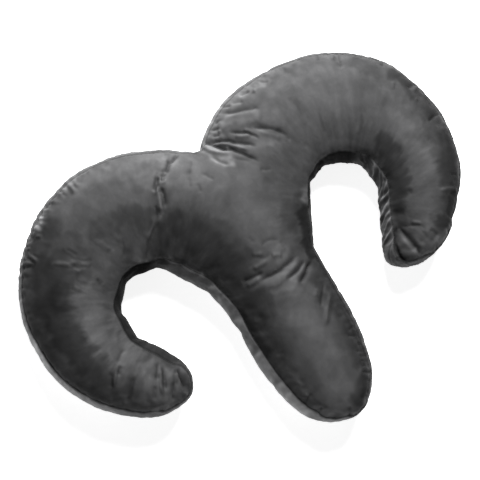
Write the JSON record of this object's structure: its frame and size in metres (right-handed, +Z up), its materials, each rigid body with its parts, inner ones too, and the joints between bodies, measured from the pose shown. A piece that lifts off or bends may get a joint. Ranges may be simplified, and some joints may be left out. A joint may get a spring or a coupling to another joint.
{
  "type": "spooning pillow",
  "caption": "Boxed velvet body pillow with curled arms on either side of a straight leg, lying on its back with its crown up.",
  "frame": {"origin": "middle of the plan, on the surface that the pillow lies on", "axes": "+Z up through the crown, -Y along the leg towards its tip, +X towards the right arm"},
  "size_m": [1.2424, 0.9014, 0.178],
  "materials": {
    "velvet": "dark grey short-pile velvet, brushed in patches"
  },
  "bodies": {
    "root": {"pillow": "velvet"}
  },
  "joints": []
}
